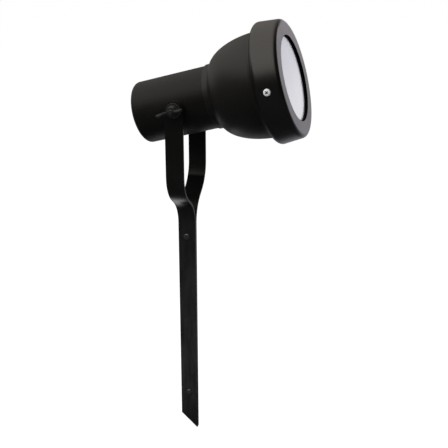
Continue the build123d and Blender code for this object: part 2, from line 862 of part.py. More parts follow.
with BuildPart() as gland_nut:
    with BuildSketch(head_section.offset(flange_rear)):
        Circle(gland_nut_radius)
        with PolarLocations(gland_nut_radius, gland_nut_flutes):
            Circle(gland_flute_share * gland_nut_wall, mode=Mode.SUBTRACT)
        Circle(cable_radius + gland_mouth_clearance, mode=Mode.SUBTRACT)
    extrude(amount=-gland_nut_height)
    with BuildSketch(head_section.offset(flange_rear)):
        Circle(gland_neck_radius)
    extrude(amount=-gland_neck_length, mode=Mode.SUBTRACT)
finish(gland_nut, "gland_nut")

with BuildPart() as gland_locknut:
    with BuildSketch(head_section.offset(barrel_floor)):
        RegularPolygon(locknut_hex / 2, 6, major_radius=False)
        Circle(gland_thread_radius, mode=Mode.SUBTRACT)
    extrude(amount=locknut_height)
finish(gland_locknut, "gland_locknut")
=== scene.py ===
"""Garden spike spotlight: finishes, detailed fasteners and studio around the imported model.

Metres throughout. +X is the way the lamp aims, +Y its left side and +Z up. Turned pieces are
drawn about their own Z axis and then placed, so that every finished object sits at the origin
with its place in its mesh.
"""

import json
from math import cos, pi, radians, sin, tan

import bmesh
import bpy
import numpy as np
from bpy.props import FloatProperty, FloatVectorProperty, IntProperty, PointerProperty
from mathutils import Matrix, Vector


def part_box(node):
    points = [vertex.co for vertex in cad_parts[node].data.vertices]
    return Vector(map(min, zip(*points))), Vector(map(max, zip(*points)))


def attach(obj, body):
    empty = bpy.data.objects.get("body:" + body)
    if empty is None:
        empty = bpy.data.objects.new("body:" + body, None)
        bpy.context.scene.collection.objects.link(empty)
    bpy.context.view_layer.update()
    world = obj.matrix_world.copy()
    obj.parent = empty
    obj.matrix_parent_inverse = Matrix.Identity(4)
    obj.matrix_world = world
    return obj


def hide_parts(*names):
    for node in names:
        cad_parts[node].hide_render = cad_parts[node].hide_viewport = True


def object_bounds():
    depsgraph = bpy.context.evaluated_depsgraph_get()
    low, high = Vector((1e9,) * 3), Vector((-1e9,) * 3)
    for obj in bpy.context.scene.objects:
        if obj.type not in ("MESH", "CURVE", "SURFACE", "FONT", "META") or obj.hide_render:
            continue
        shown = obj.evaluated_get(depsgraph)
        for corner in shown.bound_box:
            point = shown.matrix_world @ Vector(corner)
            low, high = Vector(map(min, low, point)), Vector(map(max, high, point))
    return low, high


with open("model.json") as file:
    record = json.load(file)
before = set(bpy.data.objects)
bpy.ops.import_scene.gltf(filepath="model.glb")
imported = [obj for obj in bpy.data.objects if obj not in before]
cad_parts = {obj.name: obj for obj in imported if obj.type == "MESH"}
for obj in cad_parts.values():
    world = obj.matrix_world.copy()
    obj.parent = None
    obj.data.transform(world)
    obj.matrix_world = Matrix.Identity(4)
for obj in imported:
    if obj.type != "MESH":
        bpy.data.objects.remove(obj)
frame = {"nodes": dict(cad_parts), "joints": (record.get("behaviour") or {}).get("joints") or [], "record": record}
cad_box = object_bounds()

bl_info = {
    "name": "Garden Spike Spotlight",
    "version": (1, 0, 0),
    "blender": (4, 5, 0),
    "location": "3D View > Sidebar > Spotlight",
    "description": "Dresses a spike spotlight: coatings, screws, wing nuts, gland and studio",
    "category": "Object",
}

MERGE_DISTANCE = 1e-6
SHARP_ANGLE = radians(32)
BAR = 0.003  # thickness of each bar

joints = {joint["name"]: joint for joint in frame["joints"]}
mounts = {mount["name"]: mount for mount in frame["record"]["mounts"]}
PIVOT = np.array(joints["head_tilt"]["pos_m"], float)
AIM = -np.array(mounts["cable_entry"]["axis"], float)
LEFT = np.array((0.0, 1.0, 0.0))
HEAD_UP = np.cross(AIM, LEFT)
SIDES = {"left": 1, "right": -1}


# ------------------------------------------------------------------------------------- settings
def share_field(name, description, default):
    """A setting from 0 to 1."""
    return FloatProperty(name=name, description=description, min=0, max=1, default=default)


def length_field(name, description, default):
    """A setting in metres."""
    return FloatProperty(
        name=name, description=description, subtype="DISTANCE", unit="LENGTH", default=default
    )


def angle_field(name, description, degrees):
    """A setting that is an angle."""
    turn = radians(degrees)
    return FloatProperty(
        name=name, description=description, subtype="ANGLE", unit="ROTATION", default=turn
    )


def colour_field(name, description, default):
    """A setting that is a linear colour."""
    return FloatVectorProperty(
        name=name, description=description, subtype="COLOR", size=3, min=0, max=1, default=default
    )


class CoatingSettings(bpy.types.PropertyGroup):
    """Black coats on the bars, the housing and the small iron."""

    colour: colour_field("Coat colour", "Satin black powder coat", (0.0052, 0.0048, 0.0043))
    roughness: share_field("Coat roughness", "Roughness of the satin coat", 0.43)
    peel_size: length_field("Orange peel size", "Width of one swell in the coat", 0.0011)
    peel_height: length_field("Orange peel height", "Height of the swells in the coat", 0.000012)
    hardware: colour_field(
        "Hardware colour", "Black coat on the wing nuts and washers", (0.016, 0.0178, 0.0164)
    )
    worn: colour_field(
        "Worn edge colour", "Where the coat has rubbed thin on an edge", (0.055, 0.054, 0.05)
    )


class GlassSettings(bpy.types.PropertyGroup):
    """The frosted front glass."""

    colour: colour_field("Glass colour", "Frosted front glass", (0.725, 0.72, 0.79))
    roughness: share_field("Frosting", "Roughness of the frosted face", 0.5)
    grain_size: length_field("Frost grain", "Size of the frosted face's grain", 0.0006)


class ScrewSettings(bpy.types.PropertyGroup):
    """Pan-head screws round the bezel."""

    count: IntProperty(name="Screws", description="Screws round the bezel", default=3, min=1)
    station: length_field("Station", "Along the lamp's axis from the tilt pivot", 0.1188)
    seat: length_field("Seat radius", "Lamp's axis to the underside of the heads", 0.068327)
    head_radius: length_field("Head radius", "Radius of the pan head", 0.004)
    head_height: length_field("Head height", "Height of the pan head", 0.0025)
    length: length_field("Length", "Length under the head", 0.006827)
    pitch: length_field("Pitch", "Thread pitch of an M4 screw", 0.0007)


class TiltSettings(bpy.types.PropertyGroup):
    """Bolts, washers and wing nuts at the tilt pivot."""

    bolt_radius: length_field("Bolt radius", "Radius of an M6 bolt", 0.003)
    pitch: length_field("Pitch", "Thread pitch of an M6 bolt", 0.001)
    washer_radius: length_field("Washer radius", "Outer radius of the washers", 0.009)
    nut_seat: length_field("Nut seat", "Middle of the lamp to the face the nut bears on", 0.0446)
    wing_span: length_field("Wing span", "Across the wing nut's tips", 0.033)
    wing_height: length_field("Wing height", "Wing tips above the nut's seat", 0.017)
    wing_angle: angle_field("Wing angle", "Wings above the horizontal at rest", 16)


class StageSettings(bpy.types.PropertyGroup):
    """Camera and backdrop."""

    azimuth: angle_field("Camera azimuth", "Turn from the lamp's right towards its front", 16.49)
    elevation: angle_field("Camera elevation", "Camera's height above the horizontal", 20.19)
    roll: angle_field("Camera roll", "Camera's turn about its line of sight", 0.11)
    distance: length_field("Camera distance", "Camera to the point it looks at", 1.00329)
    look_across: length_field("Look across", "Point looked at, right of the pivot", 0.04542)
    look_down: length_field("Look down", "Point looked at, below the pivot", 0.1519)
    lens: FloatProperty(
        name="Lens",
        description="Focal length in millimetres on a 36 mm sensor",
        default=64.75,
        min=10,
    )
    backdrop: colour_field("Backdrop colour", "Floor and backdrop", (1.0, 1.0, 1.0))


# ------------------------------------------------------------------------------- surface making
def surface_mesh(name, grids, wrap_rows=False):
    """One mesh from one or more grids of points, an array of rows, columns and 3 for each.

    Columns go once round, so the last joins the first. Rows run from pole to pole, or once round
    a closed section where wrap_rows is set. Every four neighbouring points make a face.
    """
    points, faces, start = [], [], 0
    for grid in grids:
        rows, columns = grid.shape[:2]
        i = np.arange(rows if wrap_rows else rows - 1)[:, None]
        j = np.arange(columns)[None, :]
        after_i, after_j = (i + 1) % rows, (j + 1) % columns
        corners = [
            i * columns + j,
            i * columns + after_j,
            after_i * columns + after_j,
            after_i * columns + j,
        ]
        faces.append(np.stack(corners, axis=-1).reshape(-1, 4) + start)
        points.append(grid.reshape(-1, 3))
        start += rows * columns
    mesh = bpy.data.meshes.new(name)
    mesh.from_pydata(np.concatenate(points).tolist(), [], np.concatenate(faces).tolist())
    shape = bmesh.new()
    shape.from_mesh(mesh)
    bmesh.ops.remove_doubles(shape, verts=shape.verts, dist=MERGE_DISTANCE)
    bmesh.ops.recalc_face_normals(shape, faces=shape.faces)
    shape.to_mesh(mesh)
    shape.free()
    smooth(mesh)
    mesh.set_sharp_from_angle(angle=SHARP_ANGLE)
    return mesh


def refill(mesh, *sources):
    """Swaps a mesh's faces for those of one or more sources, itself among them."""
    shape = bmesh.new()
    for source in sources:
        shape.from_mesh(source)
    shape.to_mesh(mesh)
    shape.free()


def smooth(mesh):
    """Shades every face of a mesh smooth."""
    mesh.polygons.foreach_set("use_smooth", np.ones(len(mesh.polygons), bool))


def add_piece(name, mesh, finish, body, node):
    """Shows a mesh as a piece that rides on a body and stands for a CAD node."""
    mesh.materials.append(materials[finish])
    piece = bpy.data.objects.new(name, mesh)
    bpy.context.scene.collection.objects.link(piece)
    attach(piece, body)
    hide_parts(node)


def angles(columns):
    """Equal angles once round, as a row."""
    return np.linspace(0, 2 * pi, columns, endpoint=False)[None, :]


def turned(height, radius, angle):
    """A turned surface: x = r cos a, y = r sin a and z = h, for every row and angle."""
    height, radius = np.broadcast_arrays(height, radius)
    shape = np.broadcast_shapes(height.shape, angle.shape)
    axes = (radius * np.cos(angle), radius * np.sin(angle), height)
    return np.stack([np.broadcast_to(axis, shape) for axis in axes], axis=-1)


def rows_at(height, radii, angle):
    """Rows of a turned surface at one height, one row for each radius."""
    return turned(np.full((len(radii), 1), height), np.array(radii)[:, None], angle)


def turned_section(section, columns=96):
    """A closed section of heights and radii, turned once round Z."""
    return turned(section[:, :1], section[:, 1:], angles(columns))


def placed(grid, origin, along, across):
    """Moves a grid from its own axes to the model: Z goes along, X goes across."""
    along = np.array(along, float) / np.linalg.norm(along)
    across = np.array(across, float)
    across = across - along * (across @ along)
    across = across / np.linalg.norm(across)
    return np.array(origin, float) + grid @ np.stack([across, np.cross(along, across), along])


def rounded(corners, radii, steps=6):
    """A closed path through corners, each swapped for an arc of its radius, if it has one.

    An arc leaves the two sides at radius / tan(half the corner's angle) from its corner, and
    turns through pi less that angle. Its centre lies on the corner's bisector, and the point at
    a share s of the turn w is (sin((1 - s) w) x first + sin(s w) x last) / sin w from it.
    """
    corners = np.array(corners, float)
    count = len(corners)
    path = []
    for k, radius in enumerate(radii):
        if radius <= 0:
            path.append(corners[k][None])
            continue
        before = corners[(k - 1) % count] - corners[k]
        after = corners[(k + 1) % count] - corners[k]
        before /= np.linalg.norm(before)
        after /= np.linalg.norm(after)
        half = np.arccos(np.clip(before @ after, -1, 1)) / 2
        bisector = before + after
        centre = corners[k] + bisector / np.linalg.norm(bisector) * radius / sin(half)
        first = corners[k] + before * radius / tan(half) - centre
        last = corners[k] + after * radius / tan(half) - centre
        turn = np.linspace(0, 1, steps + 1)[:, None]
        sweep = pi - 2 * half
        arc = (np.sin((1 - turn) * sweep) * first + np.sin(turn * sweep) * last) / sin(sweep)
        path.append(centre + arc)
    return np.concatenate(path)


def thread_depth(angle, height, pitch, depth):
    """Depth below the crest of a right-hand thread.

    The place within a turn is height / pitch - angle / (2 pi), and the depth is a triangle wave of
    it, cut flat at crest and root.
    """
    place = (height / pitch - angle / (2 * pi)) % 1
    wave = np.abs(2 * place - 1)
    return depth * np.clip(1.3 * wave - 0.15, 0, 1)


def fade(value, start, end):
    """Smooth step of a value from 0 at start to 1 at end."""
    share = np.clip((value - start) / (end - start), 0, 1)
    return share * share * (3 - 2 * share)


# ---------------------------------------------------------------------------------- node making
def add_node(tree, kind, inputs=None, **settings):
    """A shader node with its settings. An input given a socket is linked to it."""
    made = tree.nodes.new(kind)
    for name, value in settings.items():
        setattr(made, name, value)
    for name, value in (inputs or {}).items():
        set_socket(made.inputs[name], value)
    return made


def set_socket(socket, value):
    """Links a socket to another, or gives it its own value."""
    if isinstance(value, bpy.types.NodeSocket):
        socket.id_data.links.new(value, socket)
    else:
        socket.default_value = value


def fed(shader, name):
    """The socket that feeds one of a shader's inputs."""
    return shader.inputs[name].links[0].from_socket


def maths(tree, operation, first, second):
    """One sum on two values."""
    return add_node(tree, "ShaderNodeMath", {0: first, 1: second}, operation=operation).outputs[0]


def times(tree, first, second):
    """The product of two values."""
    return maths(tree, "MULTIPLY", first, second)


def vector_maths(tree, operation, first, second=(0.0, 0.0, 0.0)):
    """One sum on vectors. It gives a number for a dot product or a length."""
    made = add_node(tree, "ShaderNodeVectorMath", {0: first, 1: second}, operation=operation)
    return made.outputs["Value" if operation in ("DOT_PRODUCT", "LENGTH") else "Vector"]


def axis_of(tree, vector, axis):
    """One of a vector's X, Y and Z."""
    return add_node(tree, "ShaderNodeSeparateXYZ", {0: vector}).outputs[axis]


def noise(tree, vector, scale, detail, roughness=0.5, distortion=0.0):
    """Cloudy noise from 0 to 1."""
    inputs = {
        "Vector": vector,
        "Scale": scale,
        "Detail": detail,
        "Roughness": roughness,
        "Distortion": distortion,
    }
    return add_node(tree, "ShaderNodeTexNoise", inputs).outputs["Fac"]


def stretched(tree, vector, scale):
    """Coordinates scaled along each axis, which draws a pattern out."""
    return add_node(tree, "ShaderNodeMapping", {"Vector": vector, "Scale": scale}).outputs[0]


def mixed(tree, share, first, second):
    """A value between two others."""
    return add_node(tree, "ShaderNodeMix", {"Factor": share, "A": first, "B": second}).outputs[0]


def blended(tree, share, first, second):
    """A colour between two others."""
    mix = add_node(tree, "ShaderNodeMix", data_type="RGBA")
    set_socket(mix.inputs[0], share)
    for socket, colour in ((mix.inputs[6], first), (mix.inputs[7], second)):
        linked = isinstance(colour, bpy.types.NodeSocket)
        set_socket(socket, colour if linked else (*colour, 1.0))
    return mix.outputs[2]


def ranged(tree, value, span, to=(0.0, 1.0), kind="LINEAR"):
    """A value between the two ends of to, by how far another has crossed a span."""
    inputs = {"Value": value, "From Min": span[0], "From Max": span[1]}
    inputs.update({"To Min": to[0], "To Max": to[1]})
    return add_node(tree, "ShaderNodeMapRange", inputs, interpolation_type=kind).outputs[0]


def facing(tree, way, axis, span, to=(0.0, 1.0), kind="SMOOTHSTEP"):
    """A value by how far a direction turns to an axis, where the span is two cosines."""
    return ranged(tree, vector_maths(tree, "DOT_PRODUCT", way, axis), span, to, kind)


# --------------------------------------------------------------------------- shared node groups
def new_group(name, inputs, outputs):
    """A node group that reads a Vector and named numbers, with its own two ends' sockets."""
    group = bpy.data.node_groups.new(name, "ShaderNodeTree")
    sockets = group.interface
    sockets.new_socket("Vector", in_out="INPUT", socket_type="NodeSocketVector")
    for label, default in inputs.items():
        socket = sockets.new_socket(label, in_out="INPUT", socket_type="NodeSocketFloat")
        socket.default_value = default
    for label in outputs:
        sockets.new_socket(label, in_out="OUTPUT", socket_type="NodeSocketFloat")
    given, result = group.nodes.new("NodeGroupInput"), group.nodes.new("NodeGroupOutput")
    return group, given.outputs, result.inputs


def powder_group():
    """Powder coat: swells and fine specks in height, a slow mottle and settled dust."""
    group, given, result = new_group(
        "powder coat",
        {"Swells per metre": 900.0, "Speck share": 0.35, "Mottles per metre": 34.0},
        ("Height", "Mottle", "Dust"),
    )
    place, specks_per_swell, dust_per_metre = given["Vector"], 3.7, 420.0
    swells = noise(group, place, given["Swells per metre"], 2.0, 0.45)
    fine = times(group, given["Swells per metre"], specks_per_swell)
    specks = add_node(
        group, "ShaderNodeTexVoronoi", {"Vector": place, "Scale": fine}, feature="SMOOTH_F1"
    )
    height = mixed(group, given["Speck share"], swells, specks.outputs["Distance"])
    mottle = noise(group, place, given["Mottles per metre"], 4.0, 0.6)
    normal = add_node(group, "ShaderNodeNewGeometry").outputs["Normal"]
    lying = ranged(group, axis_of(group, normal, "Z"), (0.35, 1.0), kind="SMOOTHSTEP")
    settled = ranged(group, noise(group, place, dust_per_metre, 5.0, 0.7), (0.42, 0.72))
    set_socket(result["Height"], height)
    set_socket(result["Mottle"], ranged(group, mottle, (0.32, 0.68)))
    set_socket(result["Dust"], times(group, lying, settled))
    return group


def edge_group():
    """Edge wear: where a rounded copy of the surface turns away from it, broken up by noise."""
    group, given, result = new_group(
        "edge wear", {"Radius": 0.0008, "Reach": 0.12, "Breaks per metre": 260.0}, ("Wear",)
    )
    soft = add_node(group, "ShaderNodeBevel", {"Radius": given["Radius"]}, samples=4)
    hard = add_node(group, "ShaderNodeNewGeometry")
    likeness = vector_maths(group, "DOT_PRODUCT", soft.outputs["Normal"], hard.outputs["Normal"])
    turned_away = maths(group, "SUBTRACT", 1.0, likeness)
    edge = ranged(group, turned_away, (0.0, given["Reach"]), kind="SMOOTHSTEP")
    breaks = noise(group, given["Vector"], given["Breaks per metre"], 4.0, 0.65)
    wear = times(group, edge, ranged(group, breaks, (0.38, 0.66)))
    set_socket(result["Wear"], wear)
    return group


def plating_group():
    """Plated metal: cloudy passivation and short rubbed scratches."""
    group, given, result = new_group(
        "plating",
        {"Clouds per metre": 300.0, "Scratches per metre": 2600.0},
        ("Clouds", "Scratches"),
    )
    drawn = stretched(group, given["Vector"], (1.0, 0.12, 0.25))
    clouds = noise(group, given["Vector"], given["Clouds per metre"], 3.0, distortion=0.6)
    set_socket(result["Clouds"], clouds)
    set_socket(result["Scratches"], noise(group, drawn, given["Scratches per metre"], 2.0))
    return group


def place_group(tree, group, inputs):
    """Puts a shared node group into a material, with its own values."""
    made = tree.nodes.new("ShaderNodeGroup")
    made.node_tree = groups[group]
    for name, value in inputs.items():
        set_socket(made.inputs[name], value)
    return made.outputs


# ------------------------------------------------------------------------------------ materials
# Colours are linear.
DUST = (0.2, 0.19, 0.17)
# Painted shade in the screws' cross recesses.
RECESS_SHADE = (0.03, 0.028, 0.025)
LOWER_BAR_GREY = (0.042, 0.04, 0.042)
# Painted shade: the near black of the bars' inner bends and the bezel's opening wall and rear corner.
SHADE_BLACK = (0.0003, 0.0003, 0.0003)
WORN_RIVET = (0.12, 0.118, 0.105)
# Painted light on the lower edge of the front glass.
PAINTED_LIGHT_GLASS = (0.97, 0.965, 0.97)
LENS_GLASS = (0.8, 0.82, 0.84)

DUST_SHARE = 0.05
LOWER_GREY_SHARE = 0.8
MARKS_PER_METRE = (160.0, 160.0, 28.0)
CLOUDS_PER_METRE = 26.0

# Spans in metres over which a finish changes.
GREY_MARKS_FADE = (-0.12, 0.2)  # height on the bars
POINT_GREY_RISE = (-0.212, -0.15)  # height on the bars
BENDS_END = (0.13, 0.134)  # height on the bars, above which the bends get no painted shade
INNER_SIDE = (-0.009, 0.0)  # distance from the middle, below zero where a face looks inwards and the bends get painted shade
OPENING_ENDS = (0.0486, 0.0492)  # radius on the bezel, inside which the opening's wall is painted shade
REAR_CORNER = (0.1045, 0.1085)  # station on the bezel from the tilt pivot, behind which the rear corner is painted shade
GLASS_PAINTED_LIGHT = (0.22, 0.285)  # height on the front glass over which the painted light fades out upwards

# Finish: material's name, colour, colour of its clouds, roughness, scratch depth, metallic.
METALS = {
    "zinc": ("bright zinc", (0.78, 0.79, 0.8), (0.68, 0.69, 0.71), 0.28, 0.000004, 1.0),
    # The screws' pure white is their zinc plating's colour, lightened further as a painted highlight.
    "screw": ("white zinc screw", (1.0, 1.0, 1.0), (0.95, 0.95, 0.94), 0.45, 0.000004, 0.1),
    "brass": ("plain brass", (0.72, 0.56, 0.28), (0.62, 0.45, 0.2), 0.32, 0.000004, 1.0),
    "mirror": ("silvered glass", (0.85, 0.85, 0.86), (0.8, 0.8, 0.82), 0.14, 0.000002, 1.0),
}
# Finish: material's name, colour, roughness, relief, swells per metre.
MOULDINGS = {
    "rubber": ("black rubber", (0.006, 0.006, 0.006), 0.72, 0.00002, 2500.0),
    "nylon": ("black nylon", (0.011, 0.011, 0.011), 0.5, 0.00001, 3000.0),
    "porcelain": ("white porcelain", (0.74, 0.73, 0.69), 0.22, 0.00001, 700.0),
}

groups, materials = {}, {}


def parts(material):
    """A material's tree, its Principled BSDF, and the coordinates it can read."""
    nodes = material.node_tree.nodes
    return material.node_tree, nodes["Principled BSDF"], nodes["Texture Coordinate"].outputs


def new_material(name):
    """A material with a Principled BSDF, and the object's own coordinates."""
    material = bpy.data.materials.new(name)
    material.use_nodes = True
    material.node_tree.nodes.new("ShaderNodeTexCoord")
    tree, shader, coordinates = parts(material)
    return material, tree, shader, coordinates["Object"]


def toned(colour, factor):
    """A colour made lighter or darker."""
    return tuple(min(1.0, factor * channel) for channel in colour)


def feed_shader(material, base, pattern, roughness, height, relief):
    """Gives a material its colour, a roughness that a pattern varies, and its relief."""
    tree, shader, _ = parts(material)
    set_socket(shader.inputs["Base Color"], base)
    set_socket(shader.inputs["Roughness"], ranged(tree, pattern, (0.0, 1.0), roughness))
    inputs = {"Height": height, "Distance": relief, "Strength": 1.0}
    bump = add_node(tree, "ShaderNodeBump", inputs)
    set_socket(shader.inputs["Normal"], bump.outputs["Normal"])


def coat_material(name, coat, colour, roughness, wear, gloss, peel=1.0, specks=0.35):
    """Black powder coat: base colour with mottle, dust and worn edges, and orange-peel relief."""
    material, tree, shader, place = new_material(name)
    swells = 1 / coat.peel_size
    powder = place_group(
        tree, "powder", {"Vector": place, "Swells per metre": swells, "Speck share": specks}
    )
    edges = place_group(tree, "edge", {"Vector": place})
    base = blended(tree, powder["Mottle"], colour, toned(colour, 1.45))
    dusty = blended(tree, times(tree, powder["Dust"], DUST_SHARE), base, DUST)
    worn_share = times(tree, edges["Wear"], wear)
    worn = blended(tree, worn_share, dusty, tuple(coat.worn))
    rough, relief = (roughness - 0.03, roughness + 0.05), peel * coat.peel_height
    feed_shader(material, worn, powder["Mottle"], rough, powder["Height"], relief)
    shader.inputs["Specular IOR Level"].default_value = gloss
    return material


def shade_and_dull_the_rest(tree, shader, unshaded, base):
    """Paints shade: turns a coat near black and takes its polish off where the unshaded share falls to 0."""
    set_socket(shader.inputs["Base Color"], blended(tree, unshaded, SHADE_BLACK, base))
    lost = ranged(tree, unshaded, (0.0, 1.0), (1.0, 0.0))
    dull = maths(tree, "MAXIMUM", fed(shader, "Roughness"), lost)
    set_socket(shader.inputs["Roughness"], dull)


def bar_material(coat, colour):
    """The coat on the rolled bars, with lighter grey marks towards the point.

    The marks are noise drawn out along the bar, and grow from the crotch down to the point. On the inner side of
    the bends the coat is painted near black as shade, and made rough.
    """
    material = coat_material(
        "satin black on rolled bar", coat, colour, coat.roughness - 0.1, wear=0.12, gloss=0.3
    )
    tree, shader, coordinates = parts(material)
    place = coordinates["Object"]
    marks = noise(tree, stretched(tree, place, MARKS_PER_METRE), 1.0, 6.0, 0.6)
    height = axis_of(tree, place, "Z")
    upper = ranged(tree, height, GREY_MARKS_FADE, (1.0, 0.0), "SMOOTHSTEP")
    point = ranged(tree, height, POINT_GREY_RISE, (0.25, 1.0), "SMOOTHSTEP")
    towards_point = times(tree, upper, point)
    share = times(tree, towards_point, ranged(tree, marks, (0.35, 0.65), (0.4, 1.0)))
    rubbed = times(tree, share, LOWER_GREY_SHARE)
    greyed_base = blended(tree, rubbed, fed(shader, "Base Color"), LOWER_BAR_GREY)
    # Painted shade: below the bends' end, faces that look inwards turn near black.
    outwards = axis_of(tree, coordinates["Normal"], "Y")
    inward = times(tree, axis_of(tree, place, "Y"), outwards)
    thin = ranged(tree, inward, INNER_SIDE, (0.05, 1.0))
    unshaded = maths(tree, "MAXIMUM", thin, ranged(tree, height, BENDS_END))
    shade_and_dull_the_rest(tree, shader, unshaded, greyed_base)
    return material


def bezel_material(coat, colour):
    """The cast coat under a harder sheen, which the opening's wall and the rear corner lack; there the coat is
    also painted near black as shade, and made rough.
    """
    material = coat_material(
        "satin black on bezel", coat, colour, coat.roughness - 0.08, wear=0.2, gloss=0.1
    )
    tree, shader, coordinates = parts(material)
    aim = tuple(AIM)
    from_pivot = vector_maths(tree, "SUBTRACT", coordinates["Object"], tuple(PIVOT))
    off_axis = vector_maths(tree, "CROSS_PRODUCT", from_pivot, aim)
    outside = ranged(tree, vector_maths(tree, "LENGTH", off_axis), OPENING_ENDS)
    station = vector_maths(tree, "DOT_PRODUCT", from_pivot, aim)
    sheen_and_unshaded = times(tree, outside, ranged(tree, station, REAR_CORNER, (0.1, 1.0)))
    set_socket(shader.inputs["Coat Weight"], sheen_and_unshaded)
    # Painted shade: the opening's wall and the rear corner turn near black.
    shade_and_dull_the_rest(tree, shader, sheen_and_unshaded, fed(shader, "Base Color"))
    shader.inputs["Coat Roughness"].default_value = coat.roughness - 0.13
    shader.inputs["Coat IOR"].default_value = 1.75
    return material


def metal_material(name, colour, tint, roughness, grain, metallic):
    """Bare or plated metal with clouded colour and fine scratches."""
    material, tree, shader, place = new_material(name)
    plating = place_group(tree, "plating", {"Vector": place})
    base, scratches = blended(tree, plating["Clouds"], colour, tint), plating["Scratches"]
    rough = (roughness - 0.08, roughness + 0.12)
    feed_shader(material, base, scratches, rough, scratches, grain)
    shader.inputs["Metallic"].default_value = metallic
    return material


def paint_recess_shade(material):
    """Painted shade in a screw's recess, by the depth that the mesh stores."""
    tree, shader, _ = parts(material)
    depth = add_node(tree, "ShaderNodeAttribute", attribute_name="recess").outputs["Fac"]
    shaded = blended(tree, depth, fed(shader, "Base Color"), RECESS_SHADE)
    set_socket(shader.inputs["Base Color"], shaded)


def moulded_material(name, colour, roughness, relief, swells):
    """Moulded nylon, rubber or glazed porcelain: even colour with a soft skin texture."""
    material, tree, _, place = new_material(name)
    powder = place_group(
        tree, "powder", {"Vector": place, "Swells per metre": swells, "Speck share": 0.6}
    )
    base = blended(tree, powder["Mottle"], colour, toned(colour, 1.25))
    rough = (roughness - 0.04, roughness + 0.06)
    feed_shader(material, base, powder["Mottle"], rough, powder["Height"], relief)
    return material


def glass_material(name, colour, roughness, transmission, grain_size, relief, painted_lift=0.0):
    """Frosted or pressed glass: a milky body, a share of light let through, and etched grain.

    This lift is painted light: it makes the lower edge of the front glass lighter and less blue than its top.
    """
    material, tree, shader, place = new_material(name)
    grain = noise(tree, place, 1 / grain_size, 3.0, 0.6)
    clouds = noise(tree, place, CLOUDS_PER_METRE, 2.0)
    base = blended(tree, clouds, toned(colour, 0.93), colour)
    # Painted light: lighter and less blue towards the glass's lower edge.
    low = ranged(tree, axis_of(tree, place, "Z"), GLASS_PAINTED_LIGHT, (painted_lift, 0.0))
    painted_lit = blended(tree, low, base, PAINTED_LIGHT_GLASS)
    feed_shader(material, painted_lit, grain, (roughness - 0.06, roughness + 0.06), grain, relief)
    shader.inputs["Transmission Weight"].default_value = transmission
    shader.inputs["IOR"].default_value = 1.5
    return material


def make_materials(scene):
    """Builds the shared node groups and every finish once."""
    coat, glass = scene.spot_coating, scene.spot_glass
    groups.update(powder=powder_group(), edge=edge_group(), plating=plating_group())
    black, hardware = tuple(coat.colour), tuple(coat.hardware)
    materials["bar coat"] = bar_material(coat, black)
    materials["cast coat"] = coat_material(
        "satin black on casting", coat, black, coat.roughness, 0.2, 0.34, peel=1.3, specks=0.5
    )
    materials["bezel coat"] = bezel_material(coat, black)
    materials["spun coat"] = coat_material(
        "satin black on spun bowl", coat, black, coat.roughness, wear=0.2, gloss=0.6
    )
    materials["rivet"] = coat_material(
        "worn black on dome rivets", coat, WORN_RIVET, 0.24, wear=0.9, gloss=0.8, peel=0.3
    )
    parts(materials["rivet"])[1].inputs["Metallic"].default_value = 0.85
    materials["hardware"] = coat_material(
        "black zinc hardware", coat, hardware, 0.36, wear=0.6, gloss=0.5, peel=0.5
    )
    for finish, values in METALS.items():
        materials[finish] = metal_material(*values)
    # Painted shade in the screws' cross recesses.
    paint_recess_shade(materials["screw"])
    for finish, values in MOULDINGS.items():
        materials[finish] = moulded_material(*values)
    materials["frosted"] = glass_material(
        "frosted glass",
        tuple(glass.colour),
        glass.roughness,
        transmission=0.1,
        grain_size=glass.grain_size,
        relief=0.00003,
        painted_lift=0.55,
    )
    materials["pressed"] = glass_material(
        "pressed lamp glass",
        LENS_GLASS,
        0.16,
        transmission=0.85,
        grain_size=0.004,
        relief=0.0003,
    )


# ------------------------------------------------------------------------------------ operators
CAD_FINISHES = {
    "bar coat": ("spike_strap_left", "spike_strap_right"),
    "cast coat": ("rear_housing",),
    "bezel coat": ("bezel_ring",),
    "spun coat": ("lamp_bowl",),
    "zinc": ("bracket_screws", "holder_screws", "holder_bracket", "earth_screw"),
    "brass": ("lamp_cap", "lamp_contact", "holder_shell", "holder_contact", "earth_tag"),
    "mirror": ("lamp_reflector",),
    "rubber": ("glass_gasket", "rim_seal"),
    "nylon": ("pivot_spacer_left", "pivot_spacer_right", "bolt_saddles", "gland_locknut"),
    "porcelain": ("lamp_holder",),
    "frosted": ("front_glass",),
    "pressed": ("lamp_lens", "lamp_cap_insulator"),
}


class SPOT_OT_finishes(bpy.types.Operator):
    """Give every CAD piece that stays its finish"""

    bl_idname = "spot.finishes"
    bl_label = "Finishes"

    def execute(self, context):
        make_materials(context.scene)
        for finish, names in CAD_FINISHES.items():
            for name in names:
                mesh = frame["nodes"][name].data
                mesh.materials.clear()
                mesh.materials.append(materials[finish])
        return {"FINISHED"}


class SPOT_OT_rivets(bpy.types.Operator):
    """Dome-headed rivets that join the two bars"""

    bl_idname = "spot.rivets"
    bl_label = "Rivets"

    shank: length_field("Shank radius", "Radius in the bars' holes", 0.0025)
    head: length_field("Head radius", "Radius of each dome", 0.0044)

    def execute(self, context):
        low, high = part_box("spike_rivets")
        heights = (low.z + self.head, high.z - self.head)
        mesh = surface_mesh("rivets", [self.rivet(high.y - BAR, height) for height in heights])
        add_piece("dome_rivets", mesh, "rivet", "spike", "spike_rivets")
        return {"FINISHED"}

    def rivet(self, rise, height):
        """One rivet turned about Y: two domes on a plain shank.

        Each dome is r = head x sin t, out = bar + rise x cos(t) to the power 0.85, which leaves a
        slight flat where the rivet was set.
        """
        t = np.linspace(0, pi / 2, 22)
        dome_out = BAR + rise * np.cos(t) ** 0.85
        dome_radius = self.head * np.sin(t)
        out = np.concatenate([dome_out, [BAR, BAR * 0.98, -BAR * 0.98], -dome_out[::-1]])
        radius = np.concatenate([dome_radius, [self.shank] * 3, dome_radius[::-1]])
        grid = turned(out[:, None], radius[:, None], angles(48))
        return placed(grid, (0, 0, height), LEFT, (1, 0, 0))


